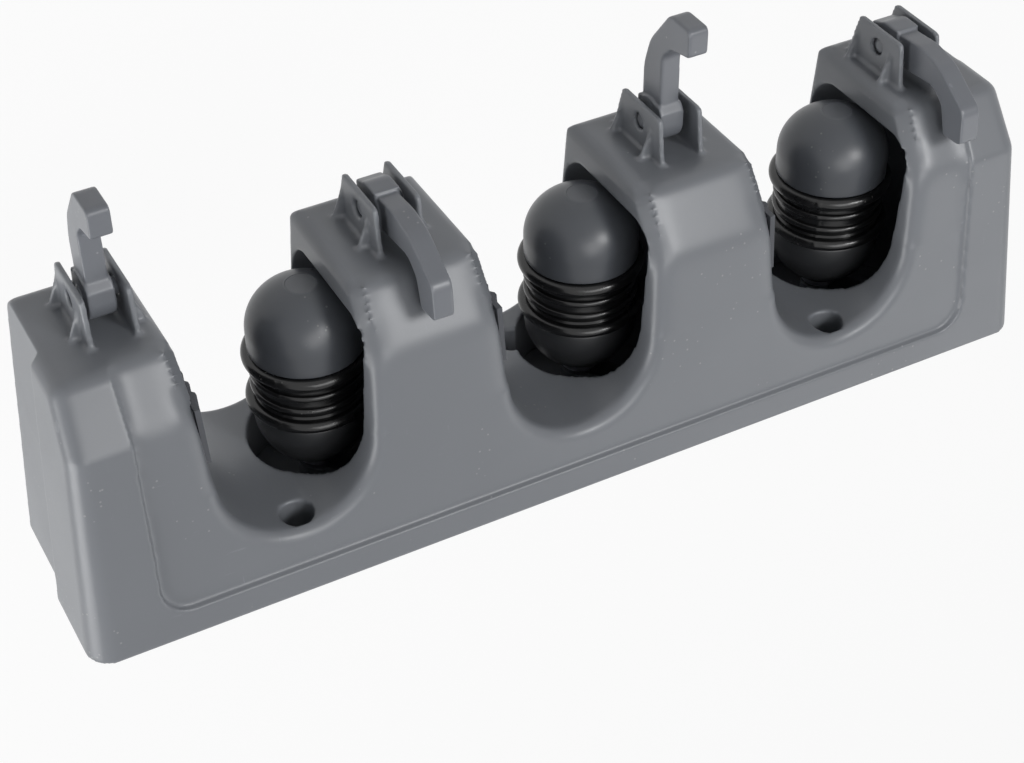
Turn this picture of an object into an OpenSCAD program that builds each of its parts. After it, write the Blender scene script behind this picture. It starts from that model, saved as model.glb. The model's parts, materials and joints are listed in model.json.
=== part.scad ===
// Wall rack that grips the handles of mops and brooms with falling rollers.
// +X runs along the wall, -Y points away from the wall, +Z is up.
// The origin is the centre of the back face, on the wall plane.

/* [Rack body] */
// Length of the rack along the wall
rack_w = 280; // [272:1:300]
// Height of the rack at the wall
rack_h = 59; // [57:0.5:66]
// Distance from the wall to the fronts of the blocks
rack_d = 75.5; // [74:0.5:84]
// Thickness of the moulded shell
wall = 2.5; // [2:0.1:3]
// Draft of the two end faces, in degrees
end_draft = 4.75; // [3:0.25:6]
// Draft of the upper face, in degrees
upper_draft = 5.5; // [3:0.25:6.5]
// Draft of the lower face, in degrees
lower_draft = 1.6; // [0.5:0.1:2.5]
// Radius of the upright corners at the wall
corner_r = 7; // [5:0.5:9]
// Radius of the front edges
edge_r = 5; // [4:0.5:6]
// Depth of the sloping shoulder, measured from the front
shoulder_d = 15.5; // [12:0.5:18]
// Height of the sloping shoulder, measured from the upper face
shoulder_h = 8.75; // [7:0.25:10]

/* [Panel on the upper face] */
// Depth of the recessed panel
panel_depth = 1.5; // [1:0.1:1.8]
// Width of the raised border at each end
panel_border = 20; // [15:0.5:22]
// Height of the raised border along the wall
panel_base = 8; // [6:0.5:11]
// Radius of the panel's lower corners
panel_r = 8; // [5:0.5:12]
// How far the lower part of each end face is set back
end_step = 2.3; // [1:0.1:2.4]
// Height of the end step above the middle of the rack, at the wall
end_step_z = 1.5; // [-3:0.5:5]
// How far the end step falls from the wall to the front
end_step_fall = 3.7; // [2:0.1:6]

/* [Handle slots] */
// Distance between the middles of two slots
slot_pitch = 80; // [78:0.5:84]
// Radius of the slot floor
slot_r = 20.5; // [19.5:0.5:21]
// Distance from the wall to the slot floor
slot_floor = 17.8; // [17:0.1:18.5]
// Draft of the slot sides, in degrees
slot_draft = 3.3; // [2:0.1:4]
// Radius of the lips on the upper face and the fronts
lip_r = 3.5; // [3:0.25:4]
// Radius of the lips on the lower face
lower_lip_r = 2; // [1:0.25:3]

/* [Fixing screws] */
// Radius of the hole for a wall screw
screw_hole_r = 2.6; // [2:0.1:3.5]
// Radius of the access hole for the screw head
access_r = 4.5; // [4:0.1:5]
// Outer radius of the boss round a wall screw
wall_boss_r = 6.5; // [6:0.1:7]
// Thickness of the seat under the screw head
seat_t = 3; // [2:0.5:5]
// Height of the screw in each outer slot, above the middle
outer_screw_z = 19.1; // [16:0.1:20]
// Height of the screw in the middle slot, below the middle
middle_screw_z = 16.2; // [14:0.1:18]

/* [Rollers] */
// Radius of the dome and the cup of a roller
roller_r = 15.3; // [15:0.1:15.6]
// Length of a roller from the tip of the cup to the tip of the dome
roller_l = 55.5; // [54:0.5:56]
// Distance from the wall to the tip of the cup
roller_back = 10.5; // [10:0.1:11]
// Distance of a resting roller from the middle of its slot
roller_x = 17.3; // [17:0.1:18]
// Height of a resting roller below the middle of the rack
roller_z = 8.5; // [8:0.1:9]
// Travel of a roller along its slanted track
travel = 10.8; // [8:0.2:11]
// Angle of the track from the vertical, in degrees
track_angle = 40; // [30:1:45]
// Depth of the flat on the tip of the cup
cup_flat = 0.5; // [0.3:0.1:0.9]
// Thickness of the dome and cup shells
roller_wall = 2.2; // [1.6:0.1:2.6]
// Radius of the neck that carries the sleeve
neck_r = 13; // [12.5:0.1:13.5]
// Length of the rubber sleeve
sleeve_l = 17.4; // [15:0.2:19]
// Radius of the sleeve between its ridges
sleeve_r = 14.5; // [14.2:0.1:15]
// Radius over the two sleeve beads
bead_r = 17; // [16.5:0.1:17.3]
// Radius of the rounding of the front bead
front_bead_r = 1.65; // [1.5:0.05:1.8]
// Radius of the rounding of the rear bead
rear_bead_r = 1.85; // [1.6:0.05:2]
// Height of the two small ridges above the sleeve
ridge_h = 0.9; // [0.5:0.1:1]
// Radius of the rounding of the small ridges
ridge_r = 1.1; // [0.9:0.1:1.3]
// Distance of the front ridge from the middle of the sleeve
front_ridge = 1.8; // [1.4:0.1:2.2]
// Distance of the rear ridge from the middle of the sleeve
rear_ridge = 2.3; // [1.8:0.1:2.6]
// Radius of the rod of a spindle
spindle_r = 3; // [2.5:0.1:3.3]
// Radius of the cap on the front of a spindle
cap_r = 4; // [3.8:0.1:5]
// Thickness of the cap
cap_t = 1.6; // [1.2:0.1:2]
// Radius of the spindle's flange behind the roller
flange_r = 5; // [4.5:0.1:6]
// Thickness of the flange
flange_t = 1.4; // [1:0.1:1.5]
// Gap between a roller and the side of its pocket
pocket_gap = 0.9; // [0.5:0.1:1]
// Thickness of the pocket wall
pocket_wall = 1.8; // [1.5:0.1:2]
// Radius of the pocket's front edge
pocket_edge_r = 9; // [7:0.5:10]
// Gap between the dome and the front of the pocket
pocket_front_gap = 1; // [0.5:0.1:1.5]

/* [Grip pads] */
// Width of a pad, away from the wall
pad_d = 17; // [12:0.5:18]
// Height of a pad
pad_h = 43; // [36:0.5:44]
// Distance from the start of the slot side to the pad
pad_start = 7.5; // [6.5:0.5:8.5]
// How far the pad is let into the slot side
pad_sink = 0.8; // [0.5:0.1:1.2]
// How far the flat of the pad stands proud
pad_proud = 0.6; // [0.4:0.1:1]
// Height of the teeth
tooth_h = 1.2; // [0.8:0.1:1.5]
// Distance between two teeth
tooth_pitch = 4.5; // [3.5:0.1:6]
// Distance from the middle of the rack up to the middle of a pad
pad_mid_z = -1.5; // [-2.5:0.1:-0.5]

/* [Hooks and ears] */
// Distance of the outer hooks from the ends of the rack
outer_hook_in = 25.7; // [24:0.1:26.5]
// Distance of the inner hooks from the middle of the rack
inner_hook_x = 40; // [39:0.1:41]
// Distance from the block front to the hook pivot
pivot_d = 7; // [6.8:0.1:8]
// Height of the hook pivot below the middle of the rack
pivot_z = 8; // [6:0.1:10]
// Radius of the trunnions
trunnion_r = 2.2; // [1.8:0.1:2.4]
// Running clearance round the trunnions
trunnion_gap = 0.1; // [0.05:0.01:0.2]
// Thickness of an ear
ear_t = 1.5; // [1.2:0.1:1.8]
// Space between the two ears of a hook
ear_space = 10; // [9.2:0.1:11]
// Height of the ears above the block front
ear_h = 12.5; // [11:0.5:14]
// Height of an ear's foot above and below its pivot
ear_foot = 13; // [12:0.5:13.5]
// Height of an ear's top below its pivot
ear_low = 8.5; // [7:0.5:9]
// Height of an ear's top above its pivot
ear_high = 10; // [9:0.5:10.5]
// Distance of the lower gusset below the pivot
gusset_low = 9.2; // [8:0.1:9.5]
// Distance of the upper gusset above the pivot
gusset_up = 5.6; // [5:0.1:7]
// Thickness of the triangular gussets on the ears
gusset_t = 1.1; // [0.8:0.1:1.5]
// Reach of the gussets away from the ear
gusset_w = 3.5; // [2.5:0.1:4]
// Width of the hub of a hook
hub_w = 7; // [6:0.1:8.6]
// Radius of the round part of the hub
hub_r = 6.1; // [5.5:0.1:6.3]
// Width of the hook's stem and tip
stem_w = 5.6; // [4.5:0.1:6]
// Reach of the hook from its pivot
hook_reach = 33.2; // [31:0.1:35]
// How far the tip of the hook turns up from its pivot
hook_rise = 16.2; // [14:0.1:17]
// Depth of the hook's lower side below its pivot
hook_low = 4.6; // [4.2:0.1:5]
// Height of the stem's upper side above its pivot
stem_top = 4.4; // [3.8:0.1:4.6]
// Thickness of the hook's upturned tip
tip_t = 7.6; // [6.5:0.1:8]
// Angle that a hook turns between folded and folded out, in degrees
fold_angle = 85; // [83:0.5:86]

/* [Back plate] */
// Thickness of the back plate
plate_t = 2.5; // [2:0.1:3]
// Gap round the edge of the back plate
plate_gap = 0.3; // [0.2:0.05:0.5]
// Radius of the bosses for the plate screws
plate_boss_r = 3.6; // [3:0.1:4]
// Length of the plate screws
plate_screw_l = 14; // [10:0.5:16]
// Radius of the thread of a plate screw
plate_screw_r = 1.5; // [1.2:0.1:1.8]
// Radius of the head of a plate screw
plate_head_r = 3; // [2.5:0.1:3.2]
// Height of the plate screws above and below the middle
plate_screw_z = 18; // [16:0.5:19]
// Distance of an inner plate screw from the middle of the slot beside it
plate_screw_x = 52; // [50:0.5:53]
// Distance of the plate screws beside the first pocket from their end of the rack
first_screw_in = 8; // [7:0.5:10]
// Distance of the last plate screws from their end of the rack
last_screw_in = 12; // [11:0.5:14]
// Depth of the cross recess in a plate screw
recess_d = 0.9; // [0.6:0.1:1]
// Width of the cross recess
recess_w = 0.7; // [0.5:0.1:0.9]
// Height of the track ribs on the plate
track_h = 5.6; // [4:0.1:6]
// Thickness of the track ribs
track_t = 1.8; // [1.2:0.1:2.5]

/* [Hidden] */
$fn = 64;

shell_grey = "#74767a";
pad_grey = "#4e5056";
dome_grey = "#45474b";
rubber_black = "#1c1c1d";
steel_grey = "#b4b6ba";

over = 1;             // how far a cutter reaches past a face
fit = 0.05;           // running fit between pieces of one roller
free = 0.3;           // free gap between pieces that move past each other
skew = 0.05;          // keeps a lip cutter from lying in a face
rim = 0.1;            // straight part of the body at the wall
floor_steps = 32;     // sides of a slot floor
lip_arc = 6;          // sides of a rounded lip
slots = [-slot_pitch, 0, slot_pitch];
slot_mid = slot_floor + slot_r;                 // depth of the axis of a slot floor
ears_half = ear_space / 2 + ear_t;              // half the width over a pair of ears
outer_hook_x = max(rack_w / 2 - outer_hook_in, slot_pitch + slot_r + lip_r + ears_half);
hook_x = [-outer_hook_x, -inner_hook_x, inner_hook_x, outer_hook_x];
hook_turn = [fold_angle, 0, fold_angle, 0];     // hooks 1 and 3 are shown folded up
pivot_y = -(rack_d + pivot_d);
pocket_r = bead_r + pocket_gap;
pocket_front = roller_back + roller_l + pocket_front_gap;
roller_mid = roller_back + roller_l / 2;
roller_end_d = roller_back + roller_l - roller_r;   // depth where the dome starts
step = travel * [-sin(track_angle), 0, cos(track_angle)];

function unit(v) = v / norm(v);
function inward(a, b) = let (d = unit(b - a)) [-d.y, d.x];
function upper_z(d) = rack_h / 2 - d * tan(upper_draft);
function lower_z(d) = -rack_h / 2 + d * tan(lower_draft);
function end_x(d) = rack_w / 2 - d * tan(end_draft);
function roller_pos(s) = [s - roller_x, 0, -roller_z];

// Corner b between a and c, turned into an arc of radius r
function arc_corner(a, b, c, r, n) =
    r <= 0 ? [b] :
    let (
        u = unit(a - b),
        v = unit(c - b),
        half = acos(u * v) / 2,
        mid = b + unit(u + v) * r / sin(half),
        from = b + u * r / tan(half) - mid,
        to = b + v * r / tan(half) - mid,
        start = atan2(from.y, from.x),
        sweep = (atan2(to.y, to.x) - start + 540) % 360 - 180
    )
    [for (i = [0 : n]) mid + r * [cos(start + sweep * i / n), sin(start + sweep * i / n)]];

// Outline through the points, with each corner rounded by its own radius
function rounded(pts, radii, n = 8) =
    [for (i = [0 : len(pts) - 1])
        each arc_corner(pts[(i + len(pts) - 1) % len(pts)], pts[i],
            pts[(i + 1) % len(pts)], radii[i], n)];

// Points moved inwards by r from both sides that meet at each corner
function inset(pts, r) =
    [for (i = [0 : len(pts) - 1])
        let (
            n1 = inward(pts[(i + len(pts) - 1) % len(pts)], pts[i]),
            n2 = inward(pts[i], pts[(i + 1) % len(pts)])
        )
        pts[i] + (n1 + n2) * r / (1 + n1 * n2)];

// Side section of the rack as [distance from the wall, height]
section = [
    [0, lower_z(0)],
    [rack_d, lower_z(rack_d)],
    [rack_d, upper_z(rack_d) - shoulder_h],
    [rack_d - shoulder_d, upper_z(rack_d - shoulder_d)],
    [0, upper_z(0)]
];

// Extrudes a [distance from the wall, height] outline along X, centred
module along_x(w) {
    rotate([90, 0, -90]) linear_extrude(w, center = true) children();
}

// Convex body of the rack, moved inwards by t on every side but the back
module drafted_body(t, back) {
    r = edge_r - t;
    pts = inset(section, edge_r);
    hull() {
        for (side = [-1, 1], i = [1 : 3])
            translate([side * (end_x(pts[i].x) - edge_r), -pts[i].x, pts[i].y])
                sphere(r, $fn = 30);
        for (side = [-1, 1], up = [-1, 1])
            translate([side * (rack_w / 2 - corner_r), back, up * (rack_h / 2 - corner_r)])
                rotate([90, 0, 0]) cylinder(h = rim, r = corner_r - t, $fn = 32);
    }
}

// Plan of a slot grown by g, anticlockwise from the front of its right side
function slot_ring(g) =
    let (
        r = slot_r + g,
        front = rack_d + over,
        half = r / cos(slot_draft) + (front - slot_mid) * tan(slot_draft),
        turn = 180 - 2 * slot_draft
    )
    [
        [half, -front],
        for (i = [0 : floor_steps])
            let (a = slot_draft + turn * i / floor_steps)
            [r * cos(a), -slot_mid + r * sin(a)],
        [-half, -front]
    ];

// Steps of a lip of radius r as [growth of the plan, depth below the face], from the face down
function lip_steps(r) =
    [[r, -over], for (t = [0 : 90 / lip_arc : 90]) [r - r * sin(t), skew + r - r * cos(t)]];

// Slot with rounded lips on the lower face and on the sloping panel
module slot_cut() {
    low = [for (s = lip_steps(lower_lip_r)) [s.x, for (p = slot_ring(s.x)) lower_z(-p.y) + s.y]];
    high = [for (s = lip_steps(lip_r)) [s.x, for (p = slot_ring(s.x)) upper_z(-p.y) - panel_depth - s.y]];
    levels = [each low, for (i = [len(high) - 1 : -1 : 0]) high[i]];
    n = len(slot_ring(0));
    top = n * (len(levels) - 1);
    polyhedron(
        points = [for (l = levels) let (ring = slot_ring(l[0]))
            for (i = [0 : n - 1]) [ring[i].x, ring[i].y, l[i + 1]]],
        faces = [
            [for (i = [0 : n - 1]) i],
            [for (i = [n - 1 : -1 : 0]) top + i],
            for (j = [0 : len(levels) - 2], i = [0 : n - 1])
                let (a = j * n + i, b = j * n + (i + 1) % n)
                each [[a, a + n, b + n], [a, b + n, b]]
        ]
    );
}

// Plain slot grown by g, which sets the inner side of the slot's wall
module slot_core(g) {
    ring = slot_ring(g);
    last = len(ring) - 1;
    translate([0, 0, -rack_h]) linear_extrude(2 * rack_h) {
        translate([0, -slot_mid]) circle(slot_r + g);
        polygon([ring[0], ring[1], ring[last - 1], ring[last]]);
    }
}

// Section of the waste that leaves a rounded lip: x into the right or left side, y out of the face
module lip_waste(r, side) {
    difference() {
        translate([side * (r - over) / 2, (over - r) / 2]) square(r + over, center = true);
        translate([side * (r - skew), -r - skew]) circle(r);
    }
}

// Waste of the lips between the sides of a slot and the shoulders and fronts beside it
module mouth_lips() {
    straight = rack_d - shoulder_d - slot_mid;
    slope = atan2(shoulder_h + shoulder_d * tan(upper_draft), shoulder_d);
    mouth = slot_r / cos(slot_draft) + (rack_d - slot_mid) * tan(slot_draft);
    for (side = [-1, 1]) {
        translate([0, -slot_mid, upper_z(rack_d - shoulder_d) - panel_depth])
            rotate([0, 0, side * slot_draft]) translate([side * slot_r, over - straight, 0])
                rotate([90 + slope, 0, 0])
                    linear_extrude(shoulder_d / cos(slope) + lip_r) lip_waste(lip_r, side);
        translate([side * mouth, -rack_d, -rack_h]) linear_extrude(2 * rack_h)
            rotate(180) lip_waste(lip_r, -side);
    }
}

// Waste of the recessed panel on the upper face and the shoulder, grown by g
module panel_waste(g) {
    half = rack_w / 2 - panel_border + g;
    low = inset(section, panel_depth + g);
    fall = unit(low[2] - low[3]);
    difference() {
        linear_extrude(rack_h)
            polygon(rounded([
                [-half, g - panel_base], [half, g - panel_base],
                [half - over, -rack_d - over], [-half + over, -rack_d - over]
            ], [panel_r + g, panel_r + g, 0, 0]));
        along_x(rack_w)
            polygon(rounded([
                [-over, -rack_h], [2 * rack_d, -rack_h],
                low[3] + fall * rack_d, low[3], low[4] + [-over, 0]
            ], [0, 0, 0, edge_r - g, 0]));
    }
}

// Waste below the steps on the two end faces, grown by g
module end_waste(g) {
    top = end_step_z + g;
    bottom = top - end_step_fall;
    for (side = [0, 1])
        mirror([side, 0, 0]) translate([rack_w / 2 - end_step - g, 0, 0])
            rotate([0, 0, -end_draft]) rotate([90, 0, 90]) linear_extrude(2 * end_step + g)
                polygon([
                    [over, top], [-rack_d - over, bottom],
                    [-rack_d - over, -rack_h], [over, -rack_h]
                ]);
}

// Section of a pocket from its axis outwards, as [radius, distance from the wall]
module pocket_side(r, front, edge) {
    polygon(rounded([
        [0, plate_t], [r, plate_t], [r, front], [0, front]
    ], [0, 0, edge, 0], 12));
}

// Slanted pocket that a roller travels in
module pocket(g) {
    r = pocket_r + g;
    front = pocket_front + g;
    rotate([0, -track_angle, 0]) {
        for (end = [0, 1])
            translate([0, 0, end * travel]) rotate([90, 180 * end, 0])
                rotate([0, 0, 180]) rotate_extrude(angle = 180) pocket_side(r, front, pocket_edge_r + g);
        linear_extrude(travel) for (side = [0, 1])
            mirror([side, 0]) mirror([0, 1]) pocket_side(r, front, pocket_edge_r + g);
    }
}

// Position of the wall screws as [x, z]
wall_screws = [
    [-slot_pitch, outer_screw_z], [slot_pitch, outer_screw_z], [0, -middle_screw_z]
];

// Position of the plate screws as [x, z]
plate_screws = [
    for (x = [
            first_screw_in - rack_w / 2, -plate_screw_x, slot_pitch - plate_screw_x,
            rack_w / 2 - last_screw_in
        ],
        up = [-1, 1]) [x, up * plate_screw_z]
];

// Rod along the depth, from depth a to depth b
module rod(a, b, r) {
    translate([0, -a, 0]) rotate([90, 0, 0]) cylinder(h = b - a, r = r);
}

// Hollow inside of the shell, with all that stands in it left out
module hollow() {
    difference() {
        drafted_body(wall, over);
        panel_waste(wall);
        end_waste(wall);
        for (s = slots) {
            translate([s, 0, 0]) slot_core(wall);
            intersection() {
                translate(roller_pos(s)) pocket(pocket_wall);
                translate([-rack_w, -rack_d, -rack_h]) cube([2 * rack_w, rack_d - plate_t, 2 * rack_h]);
            }
        }
        for (p = wall_screws)
            translate([p.x, 0, p.y]) rod(plate_t, slot_floor + wall, wall_boss_r);
        for (p = plate_screws)
            translate([p.x, 0, p.y]) rod(plate_t, rack_d, plate_boss_r);
    }
}

// One ear of a hook, standing on the block front, with its two gussets
module ear(side) {
    x0 = side * ear_space / 2;
    foot = rack_d - over;
    top = rack_d + ear_h;
    mid = -pivot_z;
    reach = gusset_w + ear_t / 2;
    translate([x0 + side * ear_t / 2, 0, 0]) along_x(ear_t)
        polygon(rounded([
            [foot, mid - ear_foot], [rack_d + 5, mid - (ear_foot + ear_low) / 2],
            [top, mid - ear_low], [top, mid + ear_high],
            [rack_d + 1.5, mid + (ear_foot + ear_high) / 2], [foot, mid + ear_foot]
        ], [0, 2, 1, 1.2, 2, 0]));
    for (z = [mid - gusset_low, mid + gusset_up])
        translate([x0 + side * ear_t / 2, 0, z]) linear_extrude(gusset_t)
            polygon([[0, -foot], [side * reach, -foot], [side * reach * 0.9, -rack_d - 0.6], [0, -top + 2.5]]);
}

module ears() {
    for (x = hook_x)
        difference() {
            translate([x, 0, 0]) for (side = [-1, 1]) ear(side);
            translate([x, pivot_y, -pivot_z]) rotate([0, 90, 0])
                cylinder(h = 2 * ear_space, r = trunnion_r + trunnion_gap, center = true);
        }
}

// Frame of the pad on the right side of a slot: x into the side, y back to the wall
module on_pad(s) {
    translate([s, -slot_mid, pad_mid_z]) rotate([0, 0, slot_draft])
        translate([slot_r, -pad_start, 0]) children();
}

module housing() {
    color(shell_grey) {
        difference() {
            drafted_body(0, 0);
            hollow();
            panel_waste(0);
            end_waste(0);
            for (s = slots) {
                translate([s, 0, 0]) {
                    slot_cut();
                    mouth_lips();
                }
                translate(roller_pos(s)) pocket(0);
                on_pad(s)
                    translate([-over, -pad_d - fit, -pad_h / 2 - fit])
                        cube([pad_sink + over, pad_d + 2 * fit, pad_h + 2 * fit]);
            }
            for (p = wall_screws)
                translate([p.x, 0, p.y]) {
                    rod(-over, slot_floor + wall, screw_hole_r);
                    rod(plate_t + seat_t, slot_floor + 2 * wall, access_r);
                }
            for (p = plate_screws)
                translate([p.x, 0, p.y]) rod(0, plate_screw_l + over, plate_screw_r);
        }
        ears();
    }
}

// Stadium between the two ends of a roller's travel
module track(r, h) {
    rotate([0, -track_angle, 0]) {
        for (end = [0, 1])
            translate([0, 0, end * travel]) rotate([90, 180 * end, 0])
                rotate([0, 0, 180]) rotate_extrude(angle = 180) square([r, h]);
        translate([-r, -h, 0]) cube([2 * r, h, travel]);
    }
}

module back_plate() {
    half = [rack_w / 2 - wall - plate_gap, rack_h / 2 - wall - plate_gap];
    r = corner_r - wall - plate_gap;
    low = half.x - end_step;
    step_z = end_step_z + wall + plate_gap;
    color(shell_grey)
        difference() {
            union() {
                rotate([90, 0, 0]) linear_extrude(plate_t)
                    polygon(rounded([
                        [-low, -half.y], [low, -half.y], [low, step_z], [half.x, step_z],
                        half, [-half.x, half.y], [-half.x, step_z], [-low, step_z]
                    ], [r, r, 0, 0, r, r, 0, 0]));
                for (s = slots)
                    translate(roller_pos(s)) track(spindle_r + free + track_t, plate_t + track_h);
            }
            for (s = slots)
                translate(roller_pos(s)) translate([0, -plate_t, 0]) track(spindle_r + free, track_h + over);
            for (p = wall_screws)
                translate([p.x, 0, p.y]) rod(-over, plate_t + over, screw_hole_r);
            for (p = plate_screws)
                translate([p.x, 0, p.y]) {
                    rod(-over, plate_t + over, plate_screw_r + fit);
                    translate([0, 0.01, 0]) rotate([90, 0, 0])
                        cylinder(h = plate_head_r - plate_screw_r, r1 = plate_head_r + fit,
                            r2 = plate_screw_r + fit);
                }
        }
}

module back_plate_screws() {
    color(steel_grey)
        for (p = plate_screws)
            translate([p.x, 0, p.y])
                difference() {
                    union() {
                        rod(0, plate_screw_l, plate_screw_r - fit);
                        rotate([90, 0, 0])
                            cylinder(h = plate_head_r - plate_screw_r, r1 = plate_head_r,
                                r2 = plate_screw_r - fit);
                    }
                    for (turn = [0, 90])
                        rotate([0, turn, 0]) translate([-plate_head_r * 0.6, -recess_d, -recess_w / 2])
                            cube([plate_head_r * 1.2, recess_d + over, recess_w]);
                }
}

module grip_pad(s) {
    teeth = floor((pad_h - tooth_pitch) / tooth_pitch);
    first = -(teeth - 1) * tooth_pitch / 2;
    color(pad_grey)
        on_pad(s) rotate([90, 0, 0]) linear_extrude(pad_d)
            polygon([
                [pad_sink, pad_h / 2], [pad_sink, -pad_h / 2], [-pad_proud, -pad_h / 2],
                for (i = [0 : teeth - 1], p = [[0, -0.45], [tooth_h, -0.12], [tooth_h, 0.12], [0, 0.45]])
                    [-pad_proud - p.x, first + (i + p.y) * tooth_pitch],
                [-pad_proud, pad_h / 2]
            ]);
}

// Turns a [radius, distance from the wall] section about the roller's axis
module turned() {
    rotate([90, 0, 0]) rotate_extrude() children();
}

// Half of the roller's shell as a section: the dome at the front of the middle
module half_shell() {
    half_l = roller_l / 2;
    ball = half_l - roller_r;
    inner = roller_r - roller_wall;
    seam = 0.1;
    difference() {
        union() {
            translate([0, ball]) intersection() {
                circle(roller_r);
                square(roller_r);
            }
            translate([0, seam]) square([neck_r, ball]);
            translate([0, sleeve_l / 2 + fit]) square([roller_r, ball - sleeve_l / 2]);
        }
        intersection() {
            translate([0, ball]) circle(inner);
            translate([spindle_r + roller_wall, ball]) square(roller_r);
        }
        translate([spindle_r + roller_wall, -over])
            square([neck_r - spindle_r - 2 * roller_wall, ball + 2 * over]);
        translate([-over, -over]) square([spindle_r + fit + over, roller_l]);
    }
}

module roller_dome(s) {
    face = sqrt(roller_r ^ 2 - cap_r ^ 2);
    color(dome_grey)
        translate(roller_pos(s)) translate([0, -roller_mid, 0])
            turned() difference() {
                half_shell();
                translate([-over, roller_l / 2 - roller_r + face - cap_t])
                    square([cap_r + fit + over, roller_r]);
            }
}

module roller_cup(s) {
    color(rubber_black)
        translate(roller_pos(s)) translate([0, -roller_mid, 0]) mirror([0, 1, 0])
            turned() difference() {
                half_shell();
                translate([-over, roller_l / 2 - cup_flat]) square([roller_r, over]);
            }
}

// Section of a bead round the sleeve that reaches out to top, at distance d from the middle
module bead(d, top, r) {
    translate([top - r, d]) circle(r, $fn = 32);
    translate([0, d - r]) square([top - r, 2 * r]);
}

module roller_sleeve(s) {
    color(rubber_black)
        translate(roller_pos(s)) translate([0, -roller_mid, 0])
            turned() difference() {
                union() {
                    translate([0, -sleeve_l / 2]) square([sleeve_r, sleeve_l]);
                    bead(sleeve_l / 2 - front_bead_r - fit, bead_r, front_bead_r);
                    bead(rear_bead_r + fit - sleeve_l / 2, bead_r, rear_bead_r);
                    for (d = [front_ridge, -rear_ridge])
                        bead(d, sleeve_r + ridge_h, ridge_r);
                }
                translate([-over, -roller_l]) square([neck_r + fit + over, 2 * roller_l]);
            }
}

module roller_spindle(s) {
    head = roller_end_d + sqrt(roller_r ^ 2 - cap_r ^ 2);
    color(steel_grey)
        translate(roller_pos(s)) {
            rod(plate_t + free, head - cap_t, spindle_r);
            rod(head - cap_t - over, head - free, spindle_r - 1);
            rod(roller_back + fit - flange_t, roller_back + fit, flange_r);
        }
}

module roller_cap(s) {
    head = roller_end_d + sqrt(roller_r ^ 2 - cap_r ^ 2);
    color(dome_grey)
        translate(roller_pos(s)) difference() {
            rod(head - cap_t, head, cap_r);
            rod(head - cap_t - over, head - free, spindle_r - 1);
        }
}

// Side outline of a hook that points away from the wall, from its pivot as
// [distance out, height]
module hook_outline() {
    tip = hook_reach - tip_t;
    polygon(rounded([
        [0, -hook_low], [hook_reach - 19, -hook_low], [hook_reach - 11, 2.5 - hook_low],
        [hook_reach, 6.5], [hook_reach, hook_rise], [tip, hook_rise],
        [tip - 1.6, hook_rise / 2], [tip - 5.4, stem_top - 0.2], [hook_low, stem_top]
    ], [0, 14, 14, 4, 1.6, 1.2, 3, 5, 0]));
}

// Side outline of the hub, round towards the block and square at the heel
module hub_outline() {
    circle(hub_r);
    polygon([
        [-pivot_d + 0.5, -4.4], [-pivot_d + 0.5, -1], [0, 0], [5, 4],
        [4.8, -5.6], [0, -hub_r]
    ]);
    polygon([[0, hub_r - 0.05], [3.6, hub_r - 0.05], [5.6, 4.6], [5.6, 0], [0, 0]]);
}

module hook(x, turn) {
    color(shell_grey)
        translate([x, pivot_y, -pivot_z]) rotate([-turn, 0, 0]) {
            along_x(stem_w) hook_outline();
            along_x(hub_w) hub_outline();
            rotate([0, 90, 0])
                cylinder(h = ear_space + 2 * ear_t - 0.4, r = trunnion_r, center = true);
        }
}

housing();
back_plate();
back_plate_screws();
grip_pad(slots[0]);  // grip_pad_1
grip_pad(slots[1]);  // grip_pad_2
grip_pad(slots[2]);  // grip_pad_3
roller_spindle(slots[0]);  // roller_spindle_1
roller_spindle(slots[1]);  // roller_spindle_2
roller_spindle(slots[2]);  // roller_spindle_3
roller_cap(slots[0]);  // roller_cap_1
roller_cap(slots[1]);  // roller_cap_2
roller_cap(slots[2]);  // roller_cap_3
roller_dome(slots[0]);  // roller_dome_1
roller_dome(slots[1]);  // roller_dome_2
roller_dome(slots[2]);  // roller_dome_3
roller_sleeve(slots[0]);  // roller_sleeve_1
roller_sleeve(slots[1]);  // roller_sleeve_2
roller_sleeve(slots[2]);  // roller_sleeve_3
roller_cup(slots[0]);  // roller_cup_1
roller_cup(slots[1]);  // roller_cup_2
roller_cup(slots[2]);  // roller_cup_3
hook(hook_x[0], hook_turn[0]);  // hook_1
hook(hook_x[1], hook_turn[1]);  // hook_2
hook(hook_x[2], hook_turn[2]);  // hook_3
hook(hook_x[3], hook_turn[3]);  // hook_4
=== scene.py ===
# %% [markdown]
# A wall rack for mops and brooms.
# The rack is a grey moulded shell with three slots. In each slot a roller hangs on a
# slanted track: a handle that is pushed in lifts it, and its weight then wedges the handle
# against a ribbed rubber pad. Four small hooks fold out between the slots.
# Everything could be modelled here from nothing, but the solids of the frame already have
# the right sizes. So this file starts from them, and gives them the soft edges, the rubber
# rings and the finishes that the real rack shows.

# %% Load the frame
import json
import math
import bpy
import bmesh
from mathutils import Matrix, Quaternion, Vector


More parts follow.
